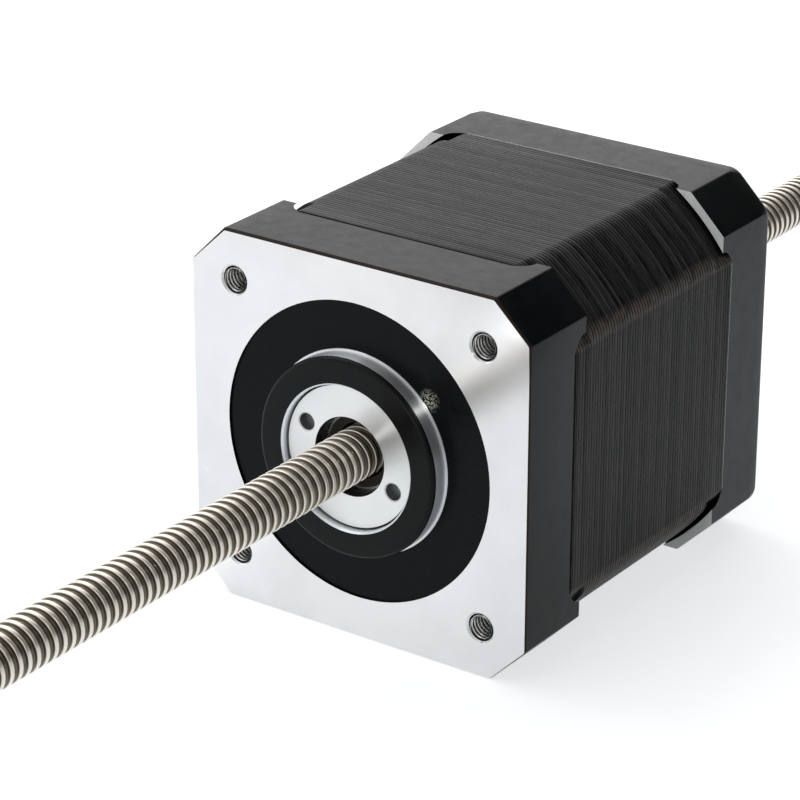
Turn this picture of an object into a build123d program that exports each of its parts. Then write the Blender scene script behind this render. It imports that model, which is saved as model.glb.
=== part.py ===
from build123d import *
import math
import os

# Linear stepper motor, non-captive: the rotor turns a nut and the lead screw slides through it.
# Millimetres. Origin at the centre of the front mounting face, +Y into the motor, +Z up.

# Driving dimensions: housing
flange_width = 42.0
corner_chamfer = 4.2
hole_edge = 5.5
front_cap_depth = 8.2
stack_length = 31.0
rear_cap_depth = 8.3
ear_length = 2.0
ear_gap = 0.4
corner_step = 1.33
corner_blend = 3.0
face_bevel = 0.35
rear_edge_round = 1.0
pilot_d = 22.0
pilot_height = 2.0
pilot_edge_bevel = 0.4
recess_d = 33.0
recess_depth = 0.25
rear_hole_d = 6.8
rear_hole_chamfer = 0.4

# Driving dimensions: fasteners
thread_d = 3.0
thread_mouth = 0.2
mount_thread_depth = 4.6
case_thread_d = 2.5
shank_play = 0.02
case_hole_play = 0.1
head_d = 5.0
head_height = 2.0
head_recess = 0.2
head_play = 0.45
cross_width = 0.8
cross_length = 2.8
cross_depth = 1.0

# Driving dimensions: lead screw and nut
screw_d = 5.54
screw_length = 200.0
screw_end_chamfer = 0.6
nut_clearance = 0.05
nut_wall = 1.33
nut_length = 20.0
nut_inset = 3.9
sleeve_wall = 0.85
screw_clearance = 0.28

# Driving dimensions: bearings
bearing_bore = 8.0
bearing_od = 16.0
bearing_width = 5.0
ball_d = 2.0
ball_clearance = 0.05
cage_width = 2.6
land_share = 0.35
housing_wall = 2.0
housing_lip = 1.2
lip_step = 1.0
rear_bearing_setback = 1.0
retainer_recess = 0.8
retainer_thickness = 1.8
retainer_bore = 8.5
retainer_play = 0.05
retainer_relief = 0.4
retainer_relief_d = 13.2
spanner_circle_d = 12.0
spanner_hole_d = 1.9
spanner_angle = -25
spring_height = 0.6
spring_thickness = 0.2
spring_width = 1.6

# Driving dimensions: rotor
rotor_share = 0.524
air_gap = 0.15
rotor_teeth = 50
tooth_depth = 0.55
tooth_share = 0.4
slot_mouth = 1.1
rotor_front_inset = 1.0
rotor_rear_inset = 0.6
magnet_length = 2.8
magnet_inset = 1.5
journal_setback = 0.3

# Driving dimensions: stator, windings and insulation
pole_count = 8
teeth_per_pole = 6
pole_share = 0.308
shoe_thickness = 1.0
boss_wall = 1.55
back_iron_ledge = 0.6
slot_liner = 0.3
coil_gap = 1.0
coil_overhang = 3.6
coil_corner = 0.9
insulator_thickness = 0.6
insulator_wall = 0.7
end_turn_gap = 0.8

# Driving dimensions: terminal board and connector
board_thickness = 0.8
board_gap = 0.3
header_width = 14.0
header_reach = 3.0
header_coil_gap = 1.75
header_wall = 0.7
header_gap = 0.2
notch_play = 0.1
pin_count = 6
pin_pitch = 2.0
pin_width = 0.5
pin_inset = 0.6
pin_tail = 0.2
pin_setback = 0.7
board_tab = 0.6

# Places along the axis, from the front
stack_front = front_cap_depth
stack_rear = stack_front + stack_length
body_length = stack_rear + rear_cap_depth
retainer_front = retainer_recess - pilot_height
front_bearing_front = retainer_front + retainer_thickness
front_bearing_rear = front_bearing_front + bearing_width
front_housing_end = front_bearing_rear + housing_lip
rear_bearing_front = stack_rear + rear_bearing_setback
rear_bearing_rear = rear_bearing_front + bearing_width
rear_seat_end = rear_bearing_rear + spring_height
coil_front = stack_front - coil_overhang
coil_rear = stack_rear + coil_overhang
board_front = coil_rear + end_turn_gap
board_rear = board_front + board_thickness
front_cavity_end = coil_front - end_turn_gap
rear_cavity_end = board_rear + board_gap
head_seat = body_length - head_recess - head_height
rotor_front = stack_front + rotor_front_inset
rotor_rear = stack_rear - rotor_rear_inset
sleeve_front = front_bearing_front + journal_setback
journal_rear = rear_bearing_rear - journal_setback
nut_front = front_bearing_rear + nut_inset
nut_rear = nut_front + nut_length

# Radii about the axis
half_flange = flange_width / 2
hole_spacing = flange_width - 2 * hole_edge
chamfer_reach = (flange_width - corner_chamfer) / math.sqrt(2)
stack_corner_r = chamfer_reach - corner_step
ear_inner_r = stack_corner_r + ear_gap
hole_circle_r = hole_spacing / math.sqrt(2)
thread_r = thread_d / 2
case_thread_r = case_thread_d / 2
case_hole_r = case_thread_r + case_hole_play
cavity_r = hole_circle_r - case_hole_r - boss_wall
slot_r = cavity_r - back_iron_ledge
bearing_r = bearing_od / 2
journal_r = bearing_bore / 2
housing_r = bearing_r + housing_wall
ball_circle_r = (bearing_od + bearing_bore) / 4
land_offset = land_share * ball_d
screw_r = screw_d / 2
nut_bore_r = screw_r + nut_clearance
nut_r = nut_bore_r + nut_wall
sleeve_r = nut_r + sleeve_wall
sleeve_bore_r = screw_r + screw_clearance
rotor_r = rotor_share * half_flange
rotor_root_r = rotor_r - tooth_depth
stator_bore_r = rotor_r + air_gap
stator_root_r = stator_bore_r + tooth_depth
shoe_r = stator_root_r + shoe_thickness
coil_inner_r = shoe_r + slot_liner
magnet_r = rotor_root_r - magnet_inset
tooth_pitch = 360 / rotor_teeth
tooth_width = tooth_share * math.radians(tooth_pitch) * rotor_r

# Coil section, from the room between two poles
pole_pitch = 360 / pole_count
pole_width = pole_share * coil_inner_r
coil_half = coil_inner_r * math.tan(math.radians(pole_pitch / 2)) - coil_gap / 2
coil_outer_r = math.sqrt((slot_r - slot_liner) ** 2 - coil_half**2)
coil_bore_half = pole_width / 2 + slot_liner
insulator_r = cavity_r - notch_play

# Connector places on the left side, as distances from the axis
header_front = stack_rear + header_gap
header_left = half_flange + header_reach
header_right = coil_outer_r + header_coil_gap
pin_column = header_right - pin_setback
board_tab_reach = header_right + board_tab


def at_depth(y):
    """Plane across the axis at depth y: X right, Z up, its normal pointing out of the front."""
    return Plane.XZ.offset(-y)


def facing_out(degrees):
    """Plane through the axis whose normal points out at this angle; depth runs along its X."""
    angle = math.radians(degrees)
    return Plane(origin=(0, 0, 0), x_dir=(0, 1, 0), z_dir=(math.cos(angle), 0, math.sin(angle)))


def band(front, rear, inner_r, outer_r):
    """Half section of a turned ring, drawn on Plane.YZ as depth against radius."""
    with Locations(((front + rear) / 2, (inner_r + outer_r) / 2)):
        Rectangle(rear - front, outer_r - inner_r)


def turned_ring(label, front, rear, inner_r, outer_r):
    """Plain turned ring about the motor's axis."""
    with BuildPart() as ring:
        with BuildSketch(Plane.YZ):
            band(front, rear, inner_r, outer_r)
        revolve(axis=Axis.Y)
    ring.part.label = label
    return ring.part


# Front end cap: chamfered flange, raised pilot, bearing housing, corner ears over the stack
with BuildPart() as front_end_cap:
    with BuildSketch(at_depth(stack_front + ear_length)) as front_outline:
        Rectangle(flange_width, flange_width)
        chamfer(front_outline.vertices(), corner_chamfer)
    extrude(amount=stack_front + ear_length)
    chamfer(front_end_cap.faces().sort_by(Axis.Y)[0].edges(), face_bevel)
    with BuildSketch(at_depth(stack_front + ear_length)):
        Circle(ear_inner_r)
    extrude(amount=ear_length, mode=Mode.SUBTRACT)
    with BuildSketch(at_depth(0)):
        Circle(recess_d / 2)
    extrude(amount=-recess_depth, mode=Mode.SUBTRACT)
    with BuildSketch(at_depth(stack_front)):
        Circle(cavity_r)
    extrude(amount=stack_front - front_cavity_end, mode=Mode.SUBTRACT)
    with BuildSketch(Plane.YZ) as pilot_section:
        band(-pilot_height, front_cavity_end, 0, pilot_d / 2)
        chamfer(pilot_section.vertices().group_by(Axis.Y)[-1].sort_by(Axis.X)[0], pilot_edge_bevel)
    revolve(axis=Axis.Y)
    with BuildSketch(Plane.YZ):
        band(front_cavity_end, front_housing_end, 0, housing_r)
    revolve(axis=Axis.Y)
    with BuildSketch(Plane.YZ):
        band(-pilot_height, front_bearing_rear, 0, bearing_r)
        band(front_bearing_rear, front_housing_end, 0, bearing_r - lip_step)
    revolve(axis=Axis.Y, mode=Mode.SUBTRACT)
    with BuildSketch(at_depth(0)):
        with GridLocations(hole_spacing, hole_spacing, 2, 2):
            Circle(thread_r)
    extrude(amount=-mount_thread_depth, mode=Mode.SUBTRACT)
    with BuildSketch(at_depth(stack_front)):
        with GridLocations(hole_spacing, hole_spacing, 2, 2):
            Circle(case_thread_r)
    extrude(amount=stack_front - mount_thread_depth, mode=Mode.SUBTRACT)
    hole_rims = front_end_cap.edges().filter_by(GeomType.CIRCLE)
    hole_rims = hole_rims.filter_by(lambda rim: math.isclose(rim.radius, thread_r))
    chamfer(hole_rims.group_by(Axis.Y)[0], thread_mouth)
front_end_cap.part.label = "front_end_cap"

# Rear end cap: screw-head pockets, rear bearing housing, connector notch in the left wall
with BuildPart() as rear_end_cap:
    with BuildSketch(at_depth(body_length)) as rear_outline:
        Rectangle(flange_width, flange_width)
        chamfer(rear_outline.vertices(), corner_chamfer)
    extrude(amount=rear_cap_depth + ear_length)
    fillet(rear_end_cap.faces().sort_by(Axis.Y)[-1].edges(), rear_edge_round)
    with BuildSketch(at_depth(stack_rear)):
        Circle(ear_inner_r)
    extrude(amount=ear_length, mode=Mode.SUBTRACT)
    with BuildSketch(at_depth(rear_cavity_end)):
        Circle(cavity_r)
        Circle(housing_r, mode=Mode.SUBTRACT)
    extrude(amount=rear_cavity_end - stack_rear, mode=Mode.SUBTRACT)
    with BuildSketch(Plane.YZ):
        band(stack_rear, rear_bearing_front, 0, cavity_r)
        band(rear_bearing_front, rear_seat_end, 0, bearing_r)
        band(rear_seat_end, body_length, 0, rear_hole_d / 2)
    revolve(axis=Axis.Y, mode=Mode.SUBTRACT)
    with BuildSketch(at_depth(body_length)):
        with GridLocations(hole_spacing, hole_spacing, 2, 2):
            Circle(head_d / 2 + head_play)
    extrude(amount=body_length - head_seat, mode=Mode.SUBTRACT)
    with BuildSketch(at_depth(head_seat)):
        with GridLocations(hole_spacing, hole_spacing, 2, 2):
            Circle(case_hole_r)
    extrude(amount=head_seat - stack_rear, mode=Mode.SUBTRACT)
    with BuildSketch(at_depth(rear_cavity_end)):
        with Locations((-half_flange, 0)):
            Rectangle(2 * (half_flange - housing_r), header_width + 2 * notch_play)
        Circle(cavity_r, mode=Mode.SUBTRACT)
    extrude(amount=rear_cavity_end - stack_rear, mode=Mode.SUBTRACT)
    rear_rims = rear_end_cap.edges().filter_by(GeomType.CIRCLE)
    rear_rims = rear_rims.filter_by(lambda rim: math.isclose(rim.radius, rear_hole_d / 2))
    chamfer(rear_rims.sort_by(Axis.Y)[-1], rear_hole_chamfer)
rear_end_cap.part.label = "rear_end_cap"

# Stator core: laminated stack with eight poles, six teeth on each shoe
with BuildPart() as stator_core:
    with BuildSketch(at_depth(stack_rear)) as lamination:
        Rectangle(flange_width, flange_width)
        Circle(stack_corner_r, mode=Mode.INTERSECT)
        fillet(lamination.vertices(), corner_blend)
        Circle(slot_r, mode=Mode.SUBTRACT)
        with PolarLocations((shoe_r + cavity_r) / 2, pole_count):
            Rectangle(cavity_r - shoe_r + shoe_thickness, pole_width)
        with BuildSketch(mode=Mode.PRIVATE) as shoes:
            Circle(shoe_r)
            Circle(stator_root_r, mode=Mode.SUBTRACT)
            with PolarLocations(shoe_r, pole_count, pole_pitch / 2):
                Rectangle(shoe_r, slot_mouth, mode=Mode.SUBTRACT)
        add(shoes.sketch)
        for pole in range(pole_count):
            pole_teeth = (teeth_per_pole - 1) * tooth_pitch
            first_tooth = pole * pole_pitch - pole_teeth / 2
            with PolarLocations(stator_root_r, teeth_per_pole, first_tooth, pole_teeth, endpoint=True):
                Rectangle(2 * tooth_depth, tooth_width)
        with GridLocations(hole_spacing, hole_spacing, 2, 2):
            Circle(case_hole_r, mode=Mode.SUBTRACT)
    extrude(amount=stack_length)
stator_core.part.label = "stator_core"


def phase_windings(label, first_pole):
    """Coils of one phase: a loop with bevelled corners wound around every other pole."""
    with BuildPart() as coils:
        for pole in range(first_pole, pole_count, 2):
            with BuildSketch(facing_out(pole * pole_pitch).offset(coil_inner_r)):
                with Locations(((coil_front + coil_rear) / 2, 0)):
                    coil_loop = Rectangle(coil_rear - coil_front, 2 * coil_half)
                    chamfer(coil_loop.vertices(), coil_corner)
                    Rectangle(stack_length + 2 * insulator_thickness, 2 * coil_bore_half, mode=Mode.SUBTRACT)
            extrude(amount=coil_outer_r - coil_inner_r)
    coils.part.label = label
    return coils.part


phase_a_windings = phase_windings("phase_a_windings", 0)
phase_b_windings = phase_windings("phase_b_windings", 1)


def insulator(label, seat, rim_end, notched):
    """Moulded end insulator: covers on the poles and a rim outside the coils."""
    toward = 1 if rim_end > seat else -1
    with BuildPart() as bobbin:
        with BuildSketch(at_depth(seat)):
            Circle(insulator_r)
            Circle(insulator_r - insulator_wall, mode=Mode.SUBTRACT)
            with PolarLocations((coil_inner_r + insulator_r) / 2, pole_count):
                Rectangle(insulator_r - coil_inner_r - insulator_wall / 2, pole_width)
        extrude(amount=-toward * insulator_thickness)
        with BuildSketch(at_depth(seat + toward * insulator_thickness)):
            Circle(insulator_r)
            Circle(insulator_r - insulator_wall, mode=Mode.SUBTRACT)
        extrude(amount=-toward * (abs(rim_end - seat) - insulator_thickness))
        if notched:
            with BuildSketch(at_depth(seat + toward * insulator_thickness)):
                with Locations((-insulator_r, 0)):
                    Rectangle(insulator_r, header_width)
            extrude(amount=-toward * abs(rim_end - seat), mode=Mode.SUBTRACT)
    bobbin.part.label = label
    return bobbin.part


front_insulator = insulator("front_insulator", stack_front, coil_front, False)
rear_insulator = insulator("rear_insulator", stack_rear, board_front, True)

# Case screws: four long screws from the rear cap into the front cap's threads
with BuildPart() as case_screws:
    with BuildSketch(at_depth(head_seat)):
        with GridLocations(hole_spacing, hole_spacing, 2, 2):
            Circle(case_thread_r - shank_play)
    extrude(amount=head_seat - mount_thread_depth)
    with BuildSketch(at_depth(head_seat + head_height)):
        with GridLocations(hole_spacing, hole_spacing, 2, 2):
            Circle(head_d / 2)
    extrude(amount=head_height)
    with BuildSketch(at_depth(head_seat + head_height)):
        with GridLocations(hole_spacing, hole_spacing, 2, 2):
            Rectangle(cross_length, cross_width)
            Rectangle(cross_width, cross_length)
    extrude(amount=cross_depth, mode=Mode.SUBTRACT)
case_screws.part.label = "case_screws"

# Bearing retainer: threaded ring with two spanner holes, relieved behind so it clears the inner ring
with BuildPart() as bearing_retainer_ring:
    with BuildSketch(Plane.YZ):
        band(retainer_front, front_bearing_front, retainer_bore / 2, bearing_r - retainer_play)
        with BuildSketch(mode=Mode.PRIVATE) as relief:
            band(front_bearing_front - retainer_relief, front_bearing_front, 0, retainer_relief_d / 2)
        add(relief.sketch, mode=Mode.SUBTRACT)
    revolve(axis=Axis.Y)
    with BuildSketch(at_depth(retainer_front)):
        with PolarLocations(spanner_circle_d / 2, 2, spanner_angle):
            Circle(spanner_hole_d / 2)
    extrude(amount=-retainer_thickness, mode=Mode.SUBTRACT)
bearing_retainer_ring.part.label = "bearing_retainer_ring"


def ball_bearing(side, front):
    """Outer ring, inner ring and the caged balls between them, drawn as one ring."""
    rear = front + bearing_width
    inner_land_r = ball_circle_r - land_offset
    outer_land_r = ball_circle_r + land_offset
    cage_front = front + (bearing_width - cage_width) / 2
    cage_rear = cage_front + cage_width
    cage_inner_r = inner_land_r + ball_clearance
    cage_outer_r = outer_land_r - ball_clearance
    return [
        turned_ring(side + "_bearing_outer_ring", front, rear, outer_land_r, bearing_r),
        turned_ring(side + "_bearing_inner_ring", front, rear, journal_r, inner_land_r),
        turned_ring(side + "_bearing_ball_cage", cage_front, cage_rear, cage_inner_r, cage_outer_r),
    ]


# Preload spring: curved spring washer between the rear bearing and its seat
with BuildPart() as preload_spring:
    spring_r = bearing_r - retainer_play
    with BuildSketch(Plane.XY):
        with BuildLine():
            crown = (0, rear_seat_end - spring_thickness)
            near_arc = ThreePointArc((-spring_r, rear_bearing_rear), crown, (spring_r, rear_bearing_rear))
            offset_edge = (spring_r, rear_bearing_rear + spring_thickness)
            Line(near_arc @ 1, offset_edge)
            far_arc = ThreePointArc(offset_edge, (0, rear_seat_end), (-spring_r, offset_edge[1]))
            Line(far_arc @ 1, near_arc @ 0)
        make_face()
    extrude(amount=spring_r, both=True)
    with BuildSketch(at_depth(rear_seat_end)):
        Circle(spring_r)
        Circle(spring_r - spring_width, mode=Mode.SUBTRACT)
    extrude(amount=rear_seat_end - rear_bearing_rear, mode=Mode.INTERSECT)
preload_spring.part.label = "preload_spring"

# Rotor sleeve: front journal, seat for the rotor cups and a pocket for the nut, in one turning
with BuildPart() as rotor_sleeve:
    with BuildSketch(Plane.YZ):
        band(sleeve_front, front_bearing_rear, sleeve_bore_r, journal_r)
        band(front_bearing_rear, nut_front, sleeve_bore_r, sleeve_r)
        band(nut_front, rear_bearing_front, nut_r, sleeve_r)
    revolve(axis=Axis.Y)
rotor_sleeve.part.label = "rotor_sleeve"

# Rear journal: pressed into the sleeve behind the nut, its shoulder flush with the sleeve's end
with BuildPart() as rear_journal:
    with BuildSketch(Plane.YZ):
        band(nut_rear, rear_bearing_front, sleeve_bore_r, nut_r)
        band(rear_bearing_front, journal_rear, sleeve_bore_r, journal_r)
    revolve(axis=Axis.Y)
rear_journal.part.label = "rear_journal"

drive_nut = turned_ring("drive_nut", nut_front, nut_rear, nut_bore_r, nut_r)


def rotor_cup(label, front, rear, turned_by):
    """Toothed rotor cup; the flats between its teeth are the sides of one polygon."""
    with BuildPart() as cup:
        with BuildSketch(at_depth(rear)):
            RegularPolygon(rotor_root_r, rotor_teeth, rotation=turned_by + tooth_pitch / 2)
            with PolarLocations(rotor_root_r, rotor_teeth, turned_by):
                Rectangle(2 * tooth_depth, tooth_width)
            Circle(sleeve_r, mode=Mode.SUBTRACT)
        extrude(amount=rear - front)
    cup.part.label = label
    return cup.part


# Rotor: a disc magnet between two cups that stand half a tooth pitch apart
magnet_front = (rotor_front + rotor_rear - magnet_length) / 2
magnet_rear = magnet_front + magnet_length
front_rotor_cup = rotor_cup("front_rotor_cup", rotor_front, magnet_front, 0)
rear_rotor_cup = rotor_cup("rear_rotor_cup", magnet_rear, rotor_rear, tooth_pitch / 2)
rotor_magnet = turned_ring("rotor_magnet", magnet_front, magnet_rear, sleeve_r, magnet_r)

# Terminal board: ring that carries the header on a tab and closes the rear coil space
with BuildPart() as terminal_board:
    with BuildSketch(at_depth(board_rear)):
        Circle(cavity_r - notch_play)
        with Locations((-board_tab_reach / 2, 0)):
            Rectangle(board_tab_reach, header_width)
        Circle(housing_r + notch_play, mode=Mode.SUBTRACT)
        with GridLocations(0, pin_pitch, 1, pin_count):
            with Locations((-pin_column, 0)):
                Rectangle(pin_width, pin_width, mode=Mode.SUBTRACT)
    extrude(amount=board_thickness)
terminal_board.part.label = "terminal_board"

# Connector header: open to the left, its floor against the board's tab
with BuildPart() as connector_header:
    with BuildSketch(at_depth(board_front)):
        with Locations((-(header_left + header_right) / 2, 0)):
            Rectangle(header_left - header_right, header_width)
    extrude(amount=board_front - header_front)
    with BuildSketch(Plane.YZ.offset(-header_left)):
        with Locations(((header_front + board_front) / 2, 0)):
            socket_height = board_front - header_front - 2 * header_wall
            Rectangle(socket_height, header_width - 2 * header_wall)
    extrude(amount=header_left - header_right - header_wall, mode=Mode.SUBTRACT)
    with BuildSketch(Plane.YZ.offset(-header_left)):
        with GridLocations(0, pin_pitch, 1, pin_count):
            with Locations(((header_front + board_front) / 2, 0)):
                Rectangle(pin_width, pin_width)
    extrude(amount=header_left - header_right, mode=Mode.SUBTRACT)
connector_header.part.label = "connector_header"

# Connector pins: square pins, straight in the socket and bent back through the board
with BuildPart() as connector_pins:
    with BuildSketch(Plane.XY.offset(-(pin_count - 1) / 2 * pin_pitch - pin_width / 2)):
        pin_middle = (header_front + board_front) / 2
        with BuildLine():
            Polyline(
                (-header_left + pin_inset, pin_middle),
                (-pin_column, pin_middle),
                (-pin_column, board_rear + pin_tail),
            )
        trace(line_width=pin_width)
    extrude(amount=pin_width)
    first_pin = connector_pins.part
    with Locations([(0, 0, pin * pin_pitch) for pin in range(1, pin_count)]):
        add(first_pin)
connector_pins.part.label = "connector_pins"

# Lead screw: the thread's outside diameter; both ends chamfered
with BuildPart() as lead_screw:
    with BuildSketch(at_depth((body_length + screw_length) / 2)):
        Circle(screw_r)
    extrude(amount=screw_length)
    chamfer(lead_screw.edges().filter_by(GeomType.CIRCLE), screw_end_chamfer)
lead_screw.part.label = "lead_screw"

pieces = [
    front_end_cap.part,
    rear_end_cap.part,
    stator_core.part,
    phase_a_windings,
    phase_b_windings,
    front_insulator,
    rear_insulator,
    case_screws.part,
    bearing_retainer_ring.part,
    preload_spring.part,
    rotor_sleeve.part,
    rear_journal.part,
    drive_nut,
    front_rotor_cup,
    rear_rotor_cup,
    rotor_magnet,
    terminal_board.part,
    connector_header.part,
    connector_pins.part,
    lead_screw.part,
]
pieces += ball_bearing("front", front_bearing_front)
pieces += ball_bearing("rear", rear_bearing_front)

os.makedirs("parts", exist_ok=True)
for piece in pieces:
    export_step(piece, "parts/" + piece.label + ".step")
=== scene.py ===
import math

import bmesh
import bpy
import numpy as np
from mathutils import Matrix, Vector
from mathutils.geometry import tessellate_polygon


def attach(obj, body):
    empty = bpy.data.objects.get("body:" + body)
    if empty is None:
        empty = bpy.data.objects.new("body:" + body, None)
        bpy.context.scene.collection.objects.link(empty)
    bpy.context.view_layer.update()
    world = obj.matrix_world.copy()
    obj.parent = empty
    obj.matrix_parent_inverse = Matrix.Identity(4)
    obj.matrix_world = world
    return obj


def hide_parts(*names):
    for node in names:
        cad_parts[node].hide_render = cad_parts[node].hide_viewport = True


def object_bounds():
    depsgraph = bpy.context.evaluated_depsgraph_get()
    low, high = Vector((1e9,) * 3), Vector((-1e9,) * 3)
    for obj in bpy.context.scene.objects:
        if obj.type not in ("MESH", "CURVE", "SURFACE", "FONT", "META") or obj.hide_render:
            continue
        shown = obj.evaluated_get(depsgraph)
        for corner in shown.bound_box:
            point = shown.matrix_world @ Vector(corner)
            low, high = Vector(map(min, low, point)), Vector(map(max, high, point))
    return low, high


# Linear stepper motor. Lengths are in millimetres here and become metres in the meshes.
# Origin at the centre of the front mounting face, +Y into the motor, +Z up.
MM = 0.001

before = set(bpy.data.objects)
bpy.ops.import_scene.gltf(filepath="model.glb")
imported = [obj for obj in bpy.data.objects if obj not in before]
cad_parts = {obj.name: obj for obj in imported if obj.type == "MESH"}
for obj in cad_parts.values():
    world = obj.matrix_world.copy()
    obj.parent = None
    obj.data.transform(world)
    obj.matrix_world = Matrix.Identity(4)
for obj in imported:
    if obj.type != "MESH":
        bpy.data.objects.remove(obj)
cad_low, cad_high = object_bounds()

# Housing, as in the solids that the finished surfaces replace
flange_half = 21.0
corner_chamfer = 4.2
corner_round = 0.4
stack_front = 8.2
stack_rear = 39.2
body_rear = 47.5
front_floor = 3.8
rear_floor = 44.7
cavity_r = 19.02
notch_half = 7.1
ear_length = 2.0
ear_r = 25.8
stack_r = 25.4
stack_blend = 3.0
sheet_count = 62
pilot_r = 11.0
pilot_front = -2.0
recess_r = 16.5
recess_depth = 0.25

# Bearing hubs inside the two caps
bearing_r = 8.0
hub_r = 10.0
front_lip_r = 7.0
front_seat_end = 5.6
front_hub_end = 6.8
rear_hub_front = 40.2
rear_seat_end = 45.8
rear_hole_r = 3.4
rear_hole_chamfer = 0.4

# Holes, retainer ring and lead screw
hole_reach = 15.5
thread_r = 1.5
thread_mouth = 0.2
thread_end = 4.6
case_thread_r = 1.25
case_hole_r = 1.35
pocket_r = 2.95
pocket_floor = 45.3
retainer_front = -1.2
retainer_rear = 0.6
retainer_bore_r = 4.25
retainer_r = 7.95
spanner_reach = 6.0
spanner_r = 0.93
screw_r = 2.77
screw_ends = (-76.25, 123.75)
screw_lead = 1.2192

# Small forms of the finished surfaces; an ear's foot begins at ear_start from the middle of the flat beside it
face_bevel = 0.28
pilot_round = 0.5
pilot_foot = 0.22
rear_round = 1.0
rear_corner_round = 2.2
ear_foot = 1.0
ear_start = math.sqrt((ear_r - ear_foot) ** 2 - flange_half**2)
ear_gap = 1.2
edge_wear = 0.05
joint_gap = 0.24

# Points round a full circle, round a small hole and along an ear's inner wall
ROUND = 192
SMALL_ROUND = 64
EAR_COLUMNS = 24

# Points closer than this are one
MERGE = 2e-4

quarter_turns = [np.array([[c, s], [-s, c]], float) for c, s in ((1, 0), (0, 1), (-1, 0), (0, -1))]
corner_holes = [(x, z) for x in (-hole_reach, hole_reach) for z in (-hole_reach, hole_reach)]


def unit_circle(count=ROUND):
    """Points (cos a, sin a) in the plane across the axis."""
    angle = np.linspace(0, 2 * np.pi, count, endpoint=False)
    return np.stack((np.cos(angle), np.sin(angle)), 1)


def flange_corners(round_by=corner_round):
    """The flange's eight corners, rounded: point = corner - round * mitre + round * (cos a, sin a), a turning from
    one side's normal to the next. The mitre (n1 + n2) / (1 + n1.n2) moves both sides in by the same distance."""
    reach = flange_half - corner_chamfer
    corner = np.array([(flange_half, -reach), (flange_half, reach), (reach, flange_half), (-reach, flange_half),
                       (-flange_half, reach), (-flange_half, -reach), (-reach, -flange_half), (reach, -flange_half)])
    before = np.radians(45.0 * np.arange(-1, 7))
    turn = before[:, None] + np.radians(np.linspace(0, 45, 6))[None]
    middle = before + np.radians(22.5)
    mitre = np.stack((np.cos(middle), np.sin(middle)), 1) / math.cos(math.radians(22.5))
    arc = round_by * np.dstack((np.cos(turn), np.sin(turn)))
    return (corner - round_by * mitre)[:, None] + arc, np.broadcast_to(mitre[:, None], arc.shape)


def stack_outline():
    """Lamination outline: the flange square cut by a circle, the corners between them blended by arcs.
    Blend centres stand at half - blend and sqrt((R - blend)^2 - (half - blend)^2)."""
    near = flange_half - stack_blend
    far = math.sqrt((stack_r - stack_blend) ** 2 - near**2)
    lean = math.atan2(far, near)
    count = 10
    first = np.linspace(0, lean, count)
    middle = np.linspace(lean, np.pi / 2 - lean, count + 2)[1:-1]
    last = np.linspace(np.pi / 2 - lean, np.pi / 2, count)
    angle = np.concatenate((first, middle, last))
    outward = np.stack((np.cos(angle), np.sin(angle)), 1)
    centre = np.repeat([(near, far), (0.0, 0.0), (far, near)], count, axis=0)
    reach = np.repeat([stack_blend, stack_r, stack_blend], count)
    quarter = centre + reach[:, None] * outward
    return np.vstack(quarter @ np.array(quarter_turns)), np.vstack(outward @ np.array(quarter_turns))


def carried(outline, steps, share=1.0):
    """Grid of an outline carried along the axis: point - share * inset * outward at each (inset, depth) step; the
    share may differ from point to point and from step to step."""
    points, outward = outline
    inset, depth = np.array(steps, float).T
    flat = points[None] - (inset[:, None] * share)[..., None] * outward[None]
    return np.dstack((flat[..., 0], np.broadcast_to(depth[:, None], flat.shape[:2]), flat[..., 1]))


def turned(profile, count=ROUND):
    """Surface of revolution about the axis from (radius, depth) steps: radius * (cos a, sin a) at each depth."""
    radius, depth = np.array(profile, float).T
    flat = radius[:, None, None] * unit_circle(count)[None]
    return np.dstack((flat[..., 0], np.broadcast_to(depth[:, None], flat.shape[:2]), flat[..., 1]))


def rounding(radius):
    """Quarter circle at an edge as (inset, distance from the end): radius * (1 - cos a, 1 - sin a)."""
    return [(radius * (1 - math.cos(a)), radius * (1 - math.sin(a))) for a in np.linspace(0, np.pi / 2, 8)]


def skin(grid, closed=True):
    """Quads between neighbouring points of a grid; when closed, the last column joins the first."""
    rows, columns = grid.shape[:2]
    index = np.arange(rows * columns).reshape(rows, columns)
    if closed:
        index = np.column_stack((index, index[:, 0]))
    quads = np.stack((index[:-1, :-1], index[:-1, 1:], index[1:, 1:], index[1:, :-1]), -1)
    return grid.reshape(-1, 3), quads.reshape(-1, 4).tolist()


def lid(*loops):
    """Flat face inside the first loop and outside the others, cut into triangles."""
    return np.vstack(loops), [list(t) for t in tessellate_polygon([[Vector(p) for p in loop] for loop in loops])]


def piece(name, body, parts, finishes, crease=28.0):
    """One closed mesh from (points, faces, finish number) parts; shared edges are merged, lengths become metres."""
    points = np.vstack([part[0] for part in parts])
    starts = np.cumsum([0] + [len(part[0]) for part in parts[:-1]])
    faces = [[v + start for v in face] for part, start in zip(parts, starts.tolist()) for face in part[1]]
    numbers = np.concatenate([np.full(len(part[1]), part[2], np.int32) for part in parts])
    mesh = bpy.data.meshes.new(name)
    mesh.from_pydata((points * MM).tolist(), [], faces)
    mesh.polygons.foreach_set("material_index", numbers)
    return close_up(mesh, name, body, finishes, crease)


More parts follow.
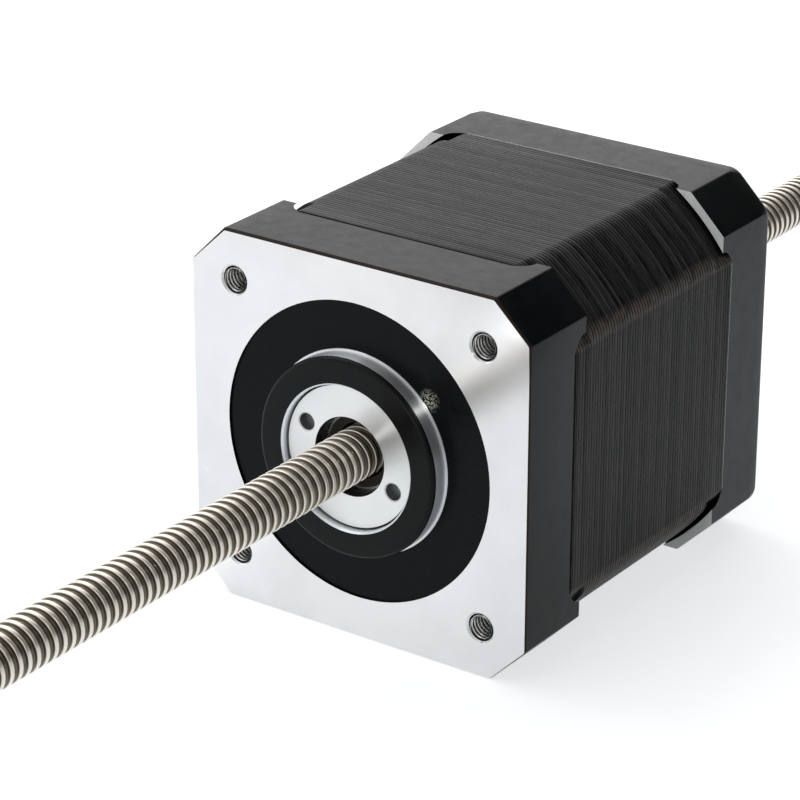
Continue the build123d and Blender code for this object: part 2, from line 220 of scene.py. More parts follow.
def close_up(mesh, name, body, finishes, crease, merge=MERGE):
    """Merges points within merge millimetres, turns the faces outwards, smooths all but the creases (degrees) and
    puts the piece on its body."""
    work = bmesh.new()
    work.from_mesh(mesh)
    bmesh.ops.remove_doubles(work, verts=work.verts, dist=merge * MM)
    bmesh.ops.dissolve_degenerate(work, edges=work.edges, dist=merge * MM)
    bmesh.ops.recalc_face_normals(work, faces=work.faces)
    work.to_mesh(mesh)
    work.free()
    mesh.shade_smooth()
    mesh.set_sharp_from_angle(angle=math.radians(crease))
    for finish in finishes:
        mesh.materials.append(finish.material)
    made = bpy.data.objects.new(name, mesh)
    bpy.context.scene.collection.objects.link(made)
    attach(made, body)
    return made


class Nodes:
    """A node tree, and the kinds of node that the materials and the sky share."""

    def __init__(self, tree):
        self.tree = tree

    def node(self, kind, inputs=None, **settings):
        """A node with these settings; an input takes another node's output or a value."""
        made = self.tree.nodes.new(kind)
        for name, value in settings.items():
            setattr(made, name, value)
        for key, value in (inputs or {}).items():
            if isinstance(value, bpy.types.NodeSocket):
                self.tree.links.new(value, made.inputs[key])
            else:
                made.inputs[key].default_value = value
        return made

    def math(self, operation, *values):
        """Result of a math node."""
        return self.node("ShaderNodeMath", dict(enumerate(values)), operation=operation).outputs[0]

    def span(self, value, low, high, to_low=0.0, to_high=1.0):
        """Maps low..high to to_low..to_high, held at both ends."""
        inputs = {"Value": value, "From Min": low, "From Max": high, "To Min": to_low, "To Max": to_high}
        return self.node("ShaderNodeMapRange", inputs).outputs["Result"]

    def mix(self, share, first, second):
        """Colour between first and second."""
        first, second = ((*c, 1) if isinstance(c, tuple) else c for c in (first, second))
        return self.node("ShaderNodeMix", {0: share, 6: first, 7: second}, data_type="RGBA").outputs[2]


class Finish(Nodes):
    """A procedural material: the Principled shader and the nodes that feed it from Object coordinates."""

    def __init__(self, name, **sockets):
        self.material = bpy.data.materials.new(name)
        self.material.use_nodes = True
        super().__init__(self.material.node_tree)
        self.shader = self.tree.nodes["Principled BSDF"]
        self.place = self.node("ShaderNodeTexCoord").outputs["Object"]
        self.axes = self.node("ShaderNodeSeparateXYZ", {0: self.place}).outputs
        for socket, value in sockets.items():
            self.shader.inputs[socket.replace("_", " ")].default_value = value

    def noise(self, size, detail=3.0, stretch=None):
        """Noise whose features are about size millimetres, drawn out along an axis by stretch."""
        where = self.place
        if stretch:
            where = self.node("ShaderNodeMapping", {"Vector": where, "Scale": stretch}).outputs[0]
        inputs = {"Vector": where, "Scale": 1 / (size * MM), "Detail": detail, "Roughness": 0.55}
        return self.node("ShaderNodeTexNoise", inputs).outputs["Fac"]

    def radius(self):
        """Distance from the motor's axis in millimetres."""
        flat = self.node("ShaderNodeVectorMath", {0: self.place, 1: (1 / MM, 0, 1 / MM)}, operation="MULTIPLY")
        return self.node("ShaderNodeVectorMath", {0: flat.outputs[0]}, operation="LENGTH").outputs["Value"]

    def depth(self):
        """Depth along the axis in millimetres."""
        return self.math("MULTIPLY", self.axes["Y"], 1 / MM)

    def feed(self, **sockets):
        """Links values into the shader's sockets."""
        for socket, value in sockets.items():
            self.tree.links.new(value, self.shader.inputs[socket.replace("_", " ")])
        return self

    def relief(self, height, millimetres, strength=1.0):
        """Bump of this height over the surface."""
        inputs = {"Height": height, "Distance": millimetres * MM, "Strength": strength}
        self.feed(Normal=self.node("ShaderNodeBump", inputs).outputs["Normal"])
        return self


def scaled(colour, factor):
    """A colour made lighter or darker, no channel above 1."""
    return tuple(min(1.0, factor * c) for c in colour)


def coat(name, colour, roughness=0.33, index=1.3):
    """Satin coating: faint mottling, fine orange peel and dust-sized specks."""
    made = Finish(name, Metallic=0.0, IOR=index)
    mottle = made.noise(4.0, 4.0)
    speck = made.span(made.noise(0.25, 2.0), 0.70, 0.78)
    shade = made.mix(mottle, scaled(colour, 0.75), scaled(colour, 1.25))
    made.feed(Base_Color=made.mix(made.math("MULTIPLY", speck, 0.25), shade, tuple(4 * c + 0.03 for c in colour)))
    made.feed(Roughness=made.span(made.noise(1.2, 3.0), 0.3, 0.7, roughness - 0.05, roughness + 0.06))
    return made.relief(made.noise(0.12, 2.0), 0.004)


def lathe_metal(name, colour, roughness, pitch=0.11, height=0.0012, along=False):
    """Turned metal: grooves one feed apart round the axis, or along it, brightness varying from ring to ring. A
    quarter turn of the anisotropy spreads the shine across the grooves."""
    made = Finish(name, Metallic=1.0, Anisotropic=1.0, Anisotropic_Rotation=0.25)
    line = made.node("ShaderNodeCombineXYZ", {0: made.depth() if along else made.radius()}).outputs[0]
    inputs = {"Vector": line, "Scale": 1 / pitch, "Detail": 2.0}
    groove = made.node("ShaderNodeTexNoise", inputs).outputs["Fac"]
    smudge = made.noise(5.0, 5.0)
    tone = made.mix(made.span(groove, 0.3, 0.7), scaled(colour, 0.92), colour)
    made.feed(Base_Color=made.mix(made.span(smudge, 0.35, 0.75, 0.0, 0.25), tone, scaled(colour, 0.82)))
    made.feed(Roughness=made.span(smudge, 0.3, 0.7, roughness, roughness + 0.04))
    made.feed(Tangent=made.node("ShaderNodeTangent", direction_type="RADIAL", axis="Y").outputs[0])
    return made.relief(groove, height)


def plain_metal(name, colour, roughness, grain=0.15, stretch=(1, 1, 1), height=0.002, metallic=1.0):
    """Metal with a fine grain, drawn out where it was drawn, ground or cut."""
    made = Finish(name, Metallic=metallic)
    fine = made.noise(grain, 3.0, stretch)
    cloud = made.noise(3.0, 3.0)
    dark = made.mix(made.span(fine, 0.3, 0.7), scaled(colour, 0.8), colour)
    made.feed(Base_Color=made.mix(made.span(cloud, 0.4, 0.8, 0.0, 0.3), dark, scaled(colour, 0.7)))
    made.feed(Roughness=made.span(fine, 0.3, 0.7, roughness - 0.04, roughness + 0.08))
    return made.relief(fine, height)


def moulded(name, colour, roughness, grain=0.08):
    """Moulded plastic: soft mottling and a fine spark-eroded grain."""
    made = Finish(name, Metallic=0.0)
    cloud = made.noise(2.5, 3.0)
    made.feed(Base_Color=made.mix(cloud, scaled(colour, 0.85), scaled(colour, 1.1)))
    made.feed(Roughness=made.span(cloud, 0.3, 0.7, roughness - 0.05, roughness + 0.05))
    return made.relief(made.noise(grain, 2.0), 0.003)


def recess_black():
    """The ring's coat, with a painted glint at the pilot's foot: a small patch of bright grains where the pilot's
    wall throws light onto the ring.
    """
    made = coat("recess_coat", (0.002, 0.0025, 0.0035), 0.28, 1.19)
    patch, core_r, patch_r = (8.9 * MM, 0, 8.0 * MM), 0.4 * MM, 1.4 * MM
    reach = made.node("ShaderNodeVectorMath", {0: made.place, 1: patch}, operation="DISTANCE").outputs["Value"]
    grains = made.span(made.noise(0.2, 2.0), 0.46, 0.60)
    # Painted glint: bright grains in a small patch at the pilot's foot, standing for light thrown there by the
    # pilot's wall
    painted_glint = made.math("MULTIPLY", grains, made.span(reach, core_r, patch_r, 1.0, 0.0))
    coating = made.shader.inputs["Base Color"].links[0].from_socket
    made.feed(Base_Color=made.mix(painted_glint, coating, (0.46, 0.47, 0.38)))
    return made


def sheet_steel():
    """Lamination edges: dark grooves between the sheets, a little difference in tone from sheet to sheet and a
    painted warm reflection, brown along the corners where they meet the side flats."""
    made = Finish("sheet_steel", Metallic=0.0, IOR=1.2)
    sheets_per_mm = sheet_count / (stack_rear - stack_front)
    place = made.math("MULTIPLY", made.math("SUBTRACT", made.depth(), stack_front), sheets_per_mm)
    sheet = made.math("FLOOR", place)
    tone = made.node("ShaderNodeTexWhiteNoise", {"W": sheet}, noise_dimensions="1D").outputs[0]
    streak = made.noise(0.35, 3.0, (0.12, 1, 0.12))
    grain = made.noise(0.12, 2.0)
    shades = [made.math("MULTIPLY", part, weight) for part, weight in ((tone, 0.25), (streak, 0.45), (grain, 0.3))]
    mixed = made.math("ADD", shades[0], made.math("ADD", shades[1], shades[2]))
    plain = made.mix(made.span(mixed, 0.36, 0.66), (0.002, 0.0025, 0.003), (0.056, 0.056, 0.056))
    off_middle = made.math("ABSOLUTE", made.math("SUBTRACT", made.math("FRACT", place), 0.5))
    line = made.span(off_middle, 0.28, 0.42)
    # Painted warm reflection: brown on the corners next to the side flats, patchy along them
    corner_ends = {"Z": (13.0 * MM, 13.5 * MM), "X": (20.3 * MM, 20.75 * MM)}
    crest = made.math("MULTIPLY", *[made.span(made.math("ABSOLUTE", made.axes[axis]), *ends)
                                    for axis, ends in corner_ends.items()])
    patchy = made.span(made.noise(1.1, 3.0), 0.35, 0.65, 0.35, 1.0)
    edge = made.mix(made.math("MULTIPLY", crest, patchy), plain, (0.135, 0.112, 0.096))
    made.feed(Base_Color=made.mix(line, edge, (0.001, 0.001, 0.001)))
    made.feed(Roughness=made.span(grain, 0.3, 0.7, 0.27, 0.40))
    rough = made.math("ADD", streak, made.math("MULTIPLY", grain, 0.3))
    return made.relief(made.math("SUBTRACT", rough, made.math("MULTIPLY", line, patchy)), 0.022)


def tapped_steel():
    """Tapped threads: bright crests and roots painted black as shade, told apart by the distance from each hole's own
    axis.
    """
    crest_r, root_r = 1.29, 1.36
    made = Finish("tapped_metal", Metallic=1.0)
    away = [made.math("SUBTRACT", made.math("ABSOLUTE", made.axes[k]), hole_reach * MM) for k in "XZ"]
    flat = made.node("ShaderNodeCombineXYZ", dict(enumerate(away))).outputs[0]
    reach = made.node("ShaderNodeVectorMath", {0: flat}, operation="LENGTH").outputs["Value"]
    root = made.span(reach, crest_r * MM, root_r * MM)
    # Painted shade: the thread roots are coloured near black, the crests near white
    made.feed(Base_Color=made.mix(root, (0.93, 0.92, 0.90), (0.012, 0.012, 0.012)))
    made.feed(Roughness=made.span(made.noise(0.3), 0.3, 0.7, 0.18, 0.30))
    return made


def thread_steel():
    """Rolled thread under a film of oil: pale satin crests and flanks, dull brown groove floors, told apart by
    the distance from the axis."""
    oil = {"Coat_Weight": 0.6, "Coat_Roughness": 0.08, "Coat_Tint": (1, 0.98, 0.88, 1)}
    made = Finish("thread_steel", Metallic=1.0, **oil)
    flank_foot, flank_top = screw_r - 0.14, screw_r - 0.05
    high = made.span(made.radius(), flank_foot, flank_top)
    drag = made.noise(0.5, 4.0, (1, 6, 1))
    crest = made.mix(drag, (0.82, 0.79, 0.77), (0.96, 0.93, 0.91))
    groove = made.mix(drag, (0.13, 0.11, 0.082), (0.21, 0.18, 0.135))
    made.feed(Base_Color=made.mix(high, groove, crest))
    made.feed(Roughness=made.span(drag, 0.3, 0.7, 0.38, 0.50))
    return made.relief(made.noise(0.2, 3.0, (1, 4, 1)), 0.003)


black_coat = coat("black_coat", (0.0032, 0.0038, 0.0048), index=1.31)
recess_coat = recess_black()
pilot_coat = coat("pilot_coat", (0.0035, 0.004, 0.0045), 0.28, 1.225)
bevel_coat = coat("bevel_coat", (0.022, 0.013, 0.009), 0.55, 1.2)
face_metal = lathe_metal("face_metal", (0.86, 0.86, 0.87), 0.27)
pilot_metal = lathe_metal("pilot_metal", (0.78, 0.82, 0.85), 0.29, along=True)
retainer_metal = lathe_metal("retainer_metal", (0.82, 0.83, 0.83), 0.31, pitch=0.16, height=0.002)
# Painted shade: a near-black coat on the bores and hollows inside the caps and on the retainer's walls, for their
# shadowed insides
bore_shade = coat("bore_shade", (0.006, 0.005, 0.004), 0.5, 1.25)
stack_steel = sheet_steel()
screw_steel = thread_steel()
tapped_metal = tapped_steel()
copper = plain_metal("copper", (0.80, 0.36, 0.17), 0.3, 0.3, (1, 0.15, 1))
bobbin_plastic = moulded("bobbin_plastic", (0.05, 0.05, 0.055), 0.5)
board_green = moulded("board_green", (0.03, 0.20, 0.09), 0.35, 0.2)
header_plastic = moulded("header_plastic", (0.82, 0.80, 0.74), 0.32)
contact_metal = plain_metal("contact_metal", (0.86, 0.80, 0.62), 0.25)
fastener_steel = plain_metal("fastener_steel", (0.30, 0.30, 0.31), 0.35)
turned_steel = lathe_metal("turned_steel", (0.035, 0.030, 0.024), 0.35, along=True)
bearing_steel = lathe_metal("bearing_steel", (0.80, 0.80, 0.81), 0.15, pitch=0.08, height=0.0005)
spring_steel = plain_metal("spring_steel", (0.50, 0.50, 0.52), 0.25)
rotor_steel = plain_metal("rotor_steel", (0.45, 0.45, 0.46), 0.38, 0.3, (0.2, 2, 0.2))
magnet_nickel = plain_metal("magnet_nickel", (0.62, 0.60, 0.55), 0.3)
nut_bronze = lathe_metal("nut_bronze", (0.62, 0.42, 0.20), 0.3, along=True)
drilled_metal = plain_metal("drilled_metal", (0.30, 0.32, 0.33), 0.4, 0.3, height=0.02)
milled_metal = plain_metal("milled_metal", (0.92, 0.93, 0.93), 0.5, 0.35, (1, 1, 4), metallic=0.25)


def shifted(grid, centre):
    """The same surface about a line parallel to the axis, through (x, z)."""
    return grid + np.array((centre[0], 0.0, centre[1]))


def ear_section(radius):
    """Closed loop round the ear in the +X +Z corner: an arc of this radius about the axis between the two
    flats, then back along the flange's rounded corners."""
    lean = math.acos(flange_half / radius)
    angle = np.linspace(lean, np.pi / 2 - lean, EAR_COLUMNS)
    arc = radius * np.stack((np.cos(angle), np.sin(angle)), 1)
    return np.vstack((arc, flange_corners()[0][1:3].reshape(-1, 2)[::-1]))


def at(points, depth):
    """Plane points set at a depth along the axis."""
    return np.stack((points[:, 0], np.full(len(points), depth), points[:, 1]), 1)


def ear(turn, base, tip):
    """Ear whose inner wall sweeps out of the cap: radius = ear radius - foot * (1 - t)^2.5, t from base to tip."""
    share = np.linspace(0, 1, 9)
    sections = [ear_section(ear_r - ear_foot * (1 - t) ** 2.5) @ quarter_turns[turn] for t in share]
    return np.stack([at(section, base + t * (tip - base)) for section, t in zip(sections, share)])


def flange_outline(notch=(), round_by=corner_round):
    """Flange outline from the rounded corners, with points added on the flats: both ends of each ear's foot, and
    on the left flat the notch's two edges where there is one."""
    corner, mitre = flange_corners(round_by)
    points, outward = [], []
    for k in range(4):
        reach = (-ear_start, *(-z for z in notch), ear_start) if k == 2 else (-ear_start, ear_start)
        flat = np.array([(flange_half, z) for z in reach]) @ quarter_turns[k]
        points += [corner[2 * k], flat, corner[2 * k + 1]]
        outward += [mitre[2 * k], np.tile(np.array((1.0, 0.0)) @ quarter_turns[k], (len(flat), 1)), mitre[2 * k + 1]]
    return np.vstack(points), np.vstack(outward)


def front_cap():
    """Front end cap: bright face, bevelled rim, recessed black ring, pilot, tapped holes and four ears. The bevel
    is full where the outline looks up and a fifth of that where it looks down."""
    outline = flange_outline()
    least = 0.2
    width = face_bevel * (least + (1 - least) * np.clip(outline[1][:, 1], 0, 1))
    rim = carried(outline, [(1.0, 0.0), (0.6, 0.05), (0.1, face_bevel * 0.85), (0.0, face_bevel)], width)
    side = carried(outline, [(0.0, face_bevel), (0.0, stack_front)])
    foot_r, foot_edge, ledge_depth, mouth_width = pilot_r + pilot_foot, 0.03, recess_depth - 0.05, 0.2
    round_edge = [(pilot_r - inset, pilot_front + rest) for inset, rest in rounding(pilot_round)]
    step = turned([(recess_r, 0.0), (recess_r, recess_depth), (foot_r, recess_depth)])
    ledge = turned([(foot_r, recess_depth), (foot_r - foot_edge, ledge_depth), (pilot_r, ledge_depth)])
    wall = turned([(pilot_r, ledge_depth), round_edge[0]])
    front = turned(round_edge + [(bearing_r + mouth_width, pilot_front)])
    mouth = turned([(bearing_r + mouth_width, pilot_front), (bearing_r, pilot_front + mouth_width),
                    (bearing_r, front_seat_end)])
    inside = turned([(bearing_r, front_seat_end), (front_lip_r, front_seat_end), (front_lip_r, front_hub_end),
                     (hub_r, front_hub_end), (hub_r, front_floor), (cavity_r, front_floor), (cavity_r, stack_front)])
    parts = [(*skin(rim), 2), (*skin(side), 0), (*skin(step), 3), (*skin(ledge), 1), (*skin(wall), 4),
             (*skin(front), 6), (*skin(mouth), 4), (*skin(inside), 5)]
    tap = turned([(thread_r + thread_mouth, 0.0), (thread_r, thread_mouth), (thread_r, thread_end),
                  (case_thread_r, thread_end), (case_thread_r, stack_front)], SMALL_ROUND)
    taps = [shifted(tap, hole) for hole in corner_holes]
    parts += [(*skin(t[:2]), 1) for t in taps] + [(*skin(t[1:]), 5) for t in taps]
    ears = [ear(k, stack_front, stack_front + ear_length) for k in range(4)]
    for grid in ears:
        parts += [(*skin(grid), 0), (*lid(grid[-1]), 0)]
    seat = np.vstack([grid[0][:EAR_COLUMNS] for grid in ears])
    parts.append((*lid(rim[0], step[0], *[t[0] for t in taps]), 1))
    parts.append((*lid(seat, inside[-1], *[t[-1] for t in taps]), 0))
    finishes = [black_coat, face_metal, bevel_coat, recess_coat, pilot_metal, bore_shade, pilot_coat]
    made = piece("front_cap_finished", "motor_body", parts, finishes)
    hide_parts("front_end_cap")


def rear_cap():
    """Rear end cap: rounded rear rim, four ears with milled tips, worn front edge, screw pockets, bearing hub and
    the notch that the connector leaves by. Between the notch and the rim its section is a C: the flange outline,
    the notch's walls and the round cavity in one loop."""
    lean = math.acos(notch_half / cavity_r) + np.pi / 2
    angle = np.linspace(lean, -lean, ROUND)
    inner = cavity_r * np.stack((np.cos(angle), np.sin(angle)), 1)
    outline = flange_outline((notch_half, -notch_half))
    wide = flange_outline((notch_half, -notch_half), rear_corner_round)
    corners_change = rear_floor + 0.6
    rear_edge = [(inset, body_rear - rest) for inset, rest in rounding(rear_round)]
    rim = np.concatenate((carried(outline, [(0, rear_floor), (0, corners_change)]), carried(wide, rear_edge)))
    first = int(np.argmin(np.hypot(outline[0][:, 0] + flange_half, outline[0][:, 1] + notch_half)))
    section = np.vstack((np.roll(outline[0], -first, 0), inner))
    side = np.stack([at(section, depth) for depth in (stack_rear, stack_rear + edge_wear, rear_floor)])
    slack = 0.001
    flat = (np.abs(section).max(1) > flange_half - slack) & (np.abs(section).min(1) < ear_start + slack)
    bare = np.where(flat & np.roll(flat, -1), 2, 0)
    ears = [ear(k, stack_rear, stack_rear - ear_length) for k in range(4)]
    arcs = [grid[0][:EAR_COLUMNS] for grid in ears]
    low, high = (-flange_half, stack_rear, -notch_half), (-flange_half, stack_rear, notch_half)
    seat = np.vstack((arcs[2], arcs[3], arcs[0], arcs[1], [high], at(inner, stack_rear), [low]))
    notch_corners = [(-flange_half, rear_floor, -notch_half), (-flange_half, rear_floor, notch_half)]
    step = np.vstack((at(inner, rear_floor), notch_corners))
    pocket = turned([(pocket_r, body_rear), (pocket_r, pocket_floor), (case_hole_r, pocket_floor),
                     (case_hole_r, stack_rear)], SMALL_ROUND)
    pockets = [shifted(pocket, hole) for hole in corner_holes]
    seat_bore = turned([(rear_hole_r + rear_hole_chamfer, body_rear), (rear_hole_r, body_rear - rear_hole_chamfer),
                        (rear_hole_r, rear_seat_end), (bearing_r, rear_seat_end), (bearing_r, rear_hub_front),
                        (hub_r, rear_hub_front), (hub_r, rear_floor)])
    parts = [(*skin(rim), 0), (*skin(side[:2]), bare), (*skin(side[1:]), 0), (*skin(seat_bore), 1)]
    parts += [(*skin(grid), 0) for grid in (*ears, *pockets)] + [(*lid(grid[-1]), 2) for grid in ears]
    parts.append((*lid(rim[-1], seat_bore[0], *[p[0] for p in pockets]), 0))
    parts.append((*lid(seat, *[p[-1] for p in pockets]), 0))
    parts.append((*lid(step, seat_bore[-1]), 1))
    made = piece("rear_cap_finished", "motor_body", parts, [black_coat, bore_shade, milled_metal])
    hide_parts("rear_end_cap")


def pole_bore():
    """Inner outline of a lamination as radius against angle: slot bottom, pole side, shoe and its six teeth,
    mirrored about each of the eight poles."""
    slot_r, shoe_r, root_r, bore_r = 18.42, 12.7, 11.7, 11.154
    pole_half, mouth_half, tooth_half = 2.0, 0.55, 0.2765
    poles, teeth, tooth_pitch = 8, 6, np.radians(7.2)
    half_pitch = np.pi / poles
    slot = np.linspace(-half_pitch, -math.asin(pole_half / slot_r), 8)
    shoe = np.linspace(-math.asin(pole_half / shoe_r), -(half_pitch - math.asin(mouth_half / shoe_r)), 6)
    tip = -(half_pitch - math.asin(mouth_half / root_r))
    centres = (np.arange(teeth) - (teeth - 1) / 2) * tooth_pitch
    spread = np.array([-math.asin(tooth_half / root_r), -math.asin(tooth_half / bore_r),
                       math.asin(tooth_half / bore_r), math.asin(tooth_half / root_r)])
    crown = (centres[:, None] + spread).ravel()
    crown_r = np.tile((root_r, bore_r, bore_r, root_r), teeth)
    left = np.concatenate((slot, shoe, [tip]))
    left_r = np.repeat([slot_r, shoe_r, root_r], [len(slot), len(shoe), 1])
    angle = np.concatenate((left, crown, -left[::-1][:-1]))
    radius = np.concatenate((left_r, crown_r, left_r[::-1][:-1]))
    turned_by = angle[None] + 2 * half_pitch * np.arange(poles)[:, None]
    points = np.dstack((radius * np.cos(turned_by), radius * np.sin(turned_by))).reshape(-1, 2)
    return points, np.zeros_like(points)


def stack():
    """Laminated stack. Each sheet's edge is rounded between fine grooves, which are deep round the corners and
    faint where the flats were ground: inset = (sink + the sheet's own offset) * share(angle). The joint to the
    front cap stays open as a narrow gap, and the corners step in under the caps' ears and just past them."""
    draw = np.random.default_rng(31)
    thick = (stack_rear - stack_front) / sheet_count
    start = stack_front + thick * np.arange(sheet_count)
    out = draw.uniform(0.0, 0.008, sheet_count)
    # Section of one sheet's edge: place in its thickness, and depth below the crest there
    share = np.array([0.0, 0.10, 0.24, 0.5, 0.76, 0.90])
    sink = np.array([0.08, 0.035, 0.010, 0.0, 0.010, 0.035])
    flat_share, ear_step, joint_inset = 0.3, 0.45, 0.8
    arc_half, arc_blend = np.radians(12.5), np.radians(2.5)
    joint_end = stack_front + joint_gap
    depth = (start[:, None] + thick * share).ravel()
    groove = (sink + out[:, None]).ravel()
    kept = depth > joint_end + 0.02
    depth = np.concatenate(([stack_front, joint_end], depth[kept], [stack_rear]))
    groove = np.concatenate(([0, 0], groove[kept], [0]))
    outline = stack_outline()
    off_diagonal = np.abs(np.arctan2(np.abs(outline[0][:, 1]), np.abs(outline[0][:, 0])) - np.pi / 4)
    corner = np.clip((arc_half - off_diagonal) / arc_blend, 0, 1)
    near_ear = np.minimum(depth - stack_front, stack_rear - depth) < ear_length + ear_gap
    inset = groove[:, None] * (flat_share + (1 - flat_share) * corner) + ear_step * near_ear[:, None] * corner
    inset[:2] = joint_inset
    outer = carried(outline, [(1.0, d) for d in depth], inset)
    bore = carried(pole_bore(), [(0, stack_front), (0, stack_rear)])
    hole = turned([(case_hole_r, stack_front), (case_hole_r, stack_rear)], 32)
    holes = [shifted(hole, centre) for centre in corner_holes]
    parts = [(*skin(grid), 0) for grid in (outer, bore, *holes)]
    for end in (0, -1):
        parts.append((*lid(outer[end], bore[end], *[h[end] for h in holes]), 0))
    made = piece("stack_finished", "motor_body", parts, [stack_steel], crease=40)
    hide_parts("stator_core")


def retainer():
    """Bearing retainer: turned ring with broken edges and two blind spanner holes with bright chamfers."""
    front, back, bore, outer = retainer_front, retainer_rear, retainer_bore_r, retainer_r
    outer_chamfer, bore_chamfer, recess_bore, recess_height = 0.18, 0.12, 6.6, 0.4
    hole_mouth_r, hole_chamfer, hole_floor = 1.06, 0.1, -0.1
    hole = turned([(hole_mouth_r, front), (spanner_r, front + hole_chamfer), (spanner_r, hole_floor)], SMALL_ROUND)
    turns = (math.radians(-25), math.radians(155))
    spots = [(spanner_reach * math.cos(a), spanner_reach * math.sin(a)) for a in turns]
    holes = [shifted(hole, spot) for spot in spots]
    rim = turned([(outer - outer_chamfer, front), (outer, front + outer_chamfer), (outer, back), (recess_bore, back),
                  (recess_bore, back - recess_height), (bore, back - recess_height), (bore, front + bore_chamfer),
                  (bore + bore_chamfer, front)])
    parts = [(*skin(rim), 1), (*lid(rim[0], rim[-1], *[h[0] for h in holes]), 0)]
    parts += [(*skin(h[:2]), 3) for h in holes] + [(*skin(h[1:]), 2) for h in holes]
    parts += [(*lid(h[-1]), 2) for h in holes]
    made = piece("retainer_finished", "motor_body", parts, [retainer_metal, bore_shade, drilled_metal, milled_metal])
    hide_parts("bearing_retainer_ring")


def helix(profile, lead, first, last, columns):
    """Right-hand thread from (share of the lead, radius) steps. At angle a the depth is lead * (turns + share +
    a / 2 pi), so grid lines follow the helix and the last column meets the first, a turn on."""
    phase, radius = np.array(profile, float).T
    turns = int(math.ceil((last - first) / lead)) + 2
    rows = (np.arange(turns)[:, None] + phase[None]).ravel() * lead + first - 1.5 * lead
    angle = np.linspace(0, 2 * np.pi, columns + 1)
    return np.tile(radius, turns)[:, None], angle[None], rows[:, None] + lead * angle[None] / (2 * np.pi)


def cut_thread(reach, angle, depth, name, ends, closed):
    """Mesh of the surface reach * (sin a, cos a) at each depth, between two planes across the axis. When closed,
    its cut ends are filled."""
    grid = np.dstack((reach * np.sin(angle), depth, reach * np.cos(angle)))
    points, faces = skin(grid, closed=False)
    mesh = bpy.data.meshes.new(name)
    mesh.from_pydata(points.tolist(), [], faces)
    work = bmesh.new()
    work.from_mesh(mesh)
    bmesh.ops.remove_doubles(work, verts=work.verts, dist=MERGE)
    for end, normal in zip(ends, ((0, -1, 0), (0, 1, 0))):
        geometry = work.verts[:] + work.edges[:] + work.faces[:]
        plane = {"plane_co": (0, end, 0), "plane_no": normal}
        bmesh.ops.bisect_plane(work, geom=geometry, dist=1e-5, clear_outer=True, **plane)
    if closed:
        bmesh.ops.holes_fill(work, edges=[e for e in work.edges if e.is_boundary], sides=0)
    bmesh.ops.scale(work, vec=(MM, MM, MM), verts=work.verts)
    work.to_mesh(mesh)
    work.free()
    return mesh


def lead_screw():
    """Lead screw: crests rolled round, flanks leaning, the ends turned down to a cone."""
    thread_height, cone_drop, cone_tip = 0.4, 0.6, 0.5
    root, crest = screw_r - thread_height, screw_r
    profile = [(0.0, root + 0.12), (0.03, root + 0.02), (0.07, root), (0.43, root), (0.47, root + 0.02),
               (0.50, root + 0.12), (0.53, crest - 0.10), (0.56, crest - 0.02), (0.60, crest), (0.87, crest),
               (0.91, crest - 0.02), (0.95, crest - 0.10)]
    reach, angle, depth = helix(profile, screw_lead, *screw_ends, columns=36)
    cone = np.minimum(depth - screw_ends[0], screw_ends[1] - depth) + screw_r - cone_drop
    reach = np.minimum(reach, np.maximum(cone, cone_tip))
    mesh = cut_thread(reach, angle, depth, "lead_screw_finished", screw_ends, True)
    made = close_up(mesh, "lead_screw_finished", "lead_screw", [screw_steel], crease=50.0, merge=1e-5)
    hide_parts("lead_screw")


def mounting_threads():
    """Tapped threads of the four mounting holes, crests standing in from the holes' walls."""
    pitch, first_row, first_cut, thickness = 0.5, 0.15, 0.12, 0.03
    profile = [(0.0, 1.495), (0.15, 1.495), (0.45, 1.27), (0.60, 1.25), (0.72, 1.27)]
    surface = helix(profile, pitch, first_row, thread_end, columns=40)
    mesh = cut_thread(*surface, "tap", (first_cut, thread_end), False)
    points = np.array([v.co for v in mesh.vertices]) / MM
    faces = [list(f.vertices) for f in mesh.polygons]
    parts = [(shifted(points, hole), faces, 0) for hole in corner_holes]
    made = piece("mounting_threads", "motor_body", parts, [tapped_metal], crease=50)
    wall = made.modifiers.new("wall", "SOLIDIFY")
    wall.thickness, wall.offset = thickness * MM, 0.0


def dress():
    """Finishes of the CAD nodes that stay."""
    finishes = {
        "phase_a_windings": copper,
        "phase_b_windings": copper,
        "front_insulator": bobbin_plastic,
        "rear_insulator": bobbin_plastic,
        "case_screws": fastener_steel,
        "preload_spring": spring_steel,
        "rotor_sleeve": turned_steel,
        "rear_journal": turned_steel,
        "drive_nut": nut_bronze,
        "front_rotor_cup": rotor_steel,
        "rear_rotor_cup": rotor_steel,
        "rotor_magnet": magnet_nickel,
        "terminal_board": board_green,
        "connector_header": header_plastic,
        "connector_pins": contact_metal,
        "front_bearing_outer_ring": bearing_steel,
        "front_bearing_inner_ring": bearing_steel,
        "front_bearing_ball_cage": bearing_steel,
        "rear_bearing_outer_ring": bearing_steel,
        "rear_bearing_inner_ring": bearing_steel,
        "rear_bearing_ball_cage": bearing_steel,
    }
    for node, finish in finishes.items():
        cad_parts[node].data.materials.clear()
        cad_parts[node].data.materials.append(finish.material)


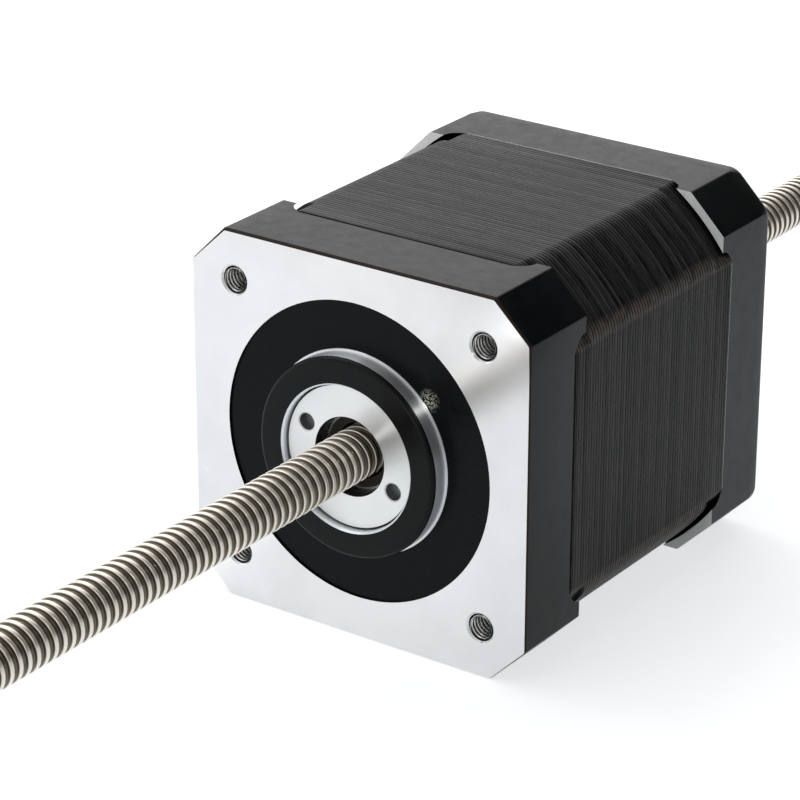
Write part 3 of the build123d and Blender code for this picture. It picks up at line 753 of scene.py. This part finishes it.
def studio():
    """Pale floor and white surroundings on the left, darkening to the right, brightest at the left behind the
    motor. The floor and the air behind it show white to the camera, and reflections see them nearly so. A large
    soft lamp stands over the left shoulder, a small one ahead and a weak one at the right."""
    floor_size, floor_gap = 6.0, 0.00005
    bpy.ops.mesh.primitive_plane_add(size=floor_size, location=(0, 0, cad_low.z - floor_gap))
    floor = bpy.context.object
    floor.name = "floor"
    ground = Finish("pale_floor", Base_Color=(0.57, 0.585, 0.60, 1), Roughness=0.9, Emission_Color=(0.96, 0.98, 1, 1))
    rays = ground.node("ShaderNodeLightPath").outputs
    # Glow that the camera sees, and that reflections see: even on the left, stronger to the back on the right
    shown, mirrored = 0.68, (0.58, 0.58, 0.58)
    behind = ground.span(ground.axes["Y"], -0.04, 0.01, 0.05, 0.38)
    level = ground.mix(ground.span(ground.axes["X"], 0.0, 0.09), mirrored, behind)
    seen = ground.math("ADD", ground.math("MULTIPLY", rays["Is Camera Ray"], shown),
                       ground.math("MULTIPLY", rays["Is Glossy Ray"], level))
    ground.feed(Emission_Strength=seen)
    floor.data.materials.append(ground.material)

    world = bpy.data.worlds.new("studio")
    bpy.context.scene.world = world
    world.use_nodes = True
    air = Nodes(world.node_tree)
    aim = air.node("ShaderNodeSeparateXYZ", {0: air.node("ShaderNodeTexCoord").outputs["Generated"]}).outputs
    # Brightness from front to back, on the left and on the right, and the blend between them
    left = air.span(aim["Y"], 0.25, 0.55, 1.0, 1.4)
    right = air.span(aim["Y"], -0.55, -0.15, 0.55, 0.02)
    glow = air.span(aim["X"], -0.2, 0.16, left, right)
    white = air.node("ShaderNodeLightPath").outputs["Is Camera Ray"]
    shade = air.node("ShaderNodeCombineColor", {0: glow, 1: glow, 2: glow}).outputs[0]
    colour = air.mix(white, shade, (1.0, 1.0, 1.0))
    air.tree.links.new(colour, air.tree.nodes["Background"].inputs["Color"])

    # Name, place and width in metres, watts, tint
    lamps = (("key", (-0.55, 0.10, 0.75), 0.5, 2.4, (1, 1, 1)),
             ("ahead", (0.027, -0.88, 0.09), 0.04, 0.5, (1, 1, 1)),
             ("side", (0.66, -0.045, 0.61), 0.06, 0.9, (1, 0.98, 0.92)))
    target = Vector((0, 0.01, 0))
    for name, place, width, watts, tint in lamps:
        lamp = bpy.data.lights.new(name, "AREA")
        lamp.size = width
        lamp.energy = watts
        lamp.color = tint
        holder = bpy.data.objects.new(name, lamp)
        bpy.context.scene.collection.objects.link(holder)
        holder.location = place
        holder.rotation_mode = "QUATERNION"
        holder.rotation_quaternion = (target - Vector(place)).to_track_quat("-Z", "Y")


def camera():
    """The photograph's viewpoint, from the fit of the mounting holes, the flange and the screw. Focal length and
    shift are measured in the photograph's pixels."""
    photo_width, focal, shift = 800, 3353.7, (-0.7, -1.1)
    data = bpy.data.cameras.new("camera")
    data.sensor_width = 36.0
    data.lens = focal / photo_width * data.sensor_width
    data.shift_x, data.shift_y = (value / photo_width for value in shift)
    data.clip_start = 0.01
    holder = bpy.data.objects.new("camera", data)
    bpy.context.scene.collection.objects.link(holder)
    right = Vector((0.816212, 0.577748, 0.002043))
    up = Vector((-0.231685, 0.324069, 0.917225))
    turn = Matrix((right, up, right.cross(up))).transposed()
    holder.matrix_world = Matrix.LocRotScale(Vector((0.184553, -0.253348, 0.142170)), turn.to_quaternion(), None)
    bpy.context.scene.camera = holder


front_cap()
rear_cap()
stack()
retainer()
lead_screw()
mounting_threads()
dress()
studio()
camera()
bpy.context.scene.view_settings.view_transform = "Standard"
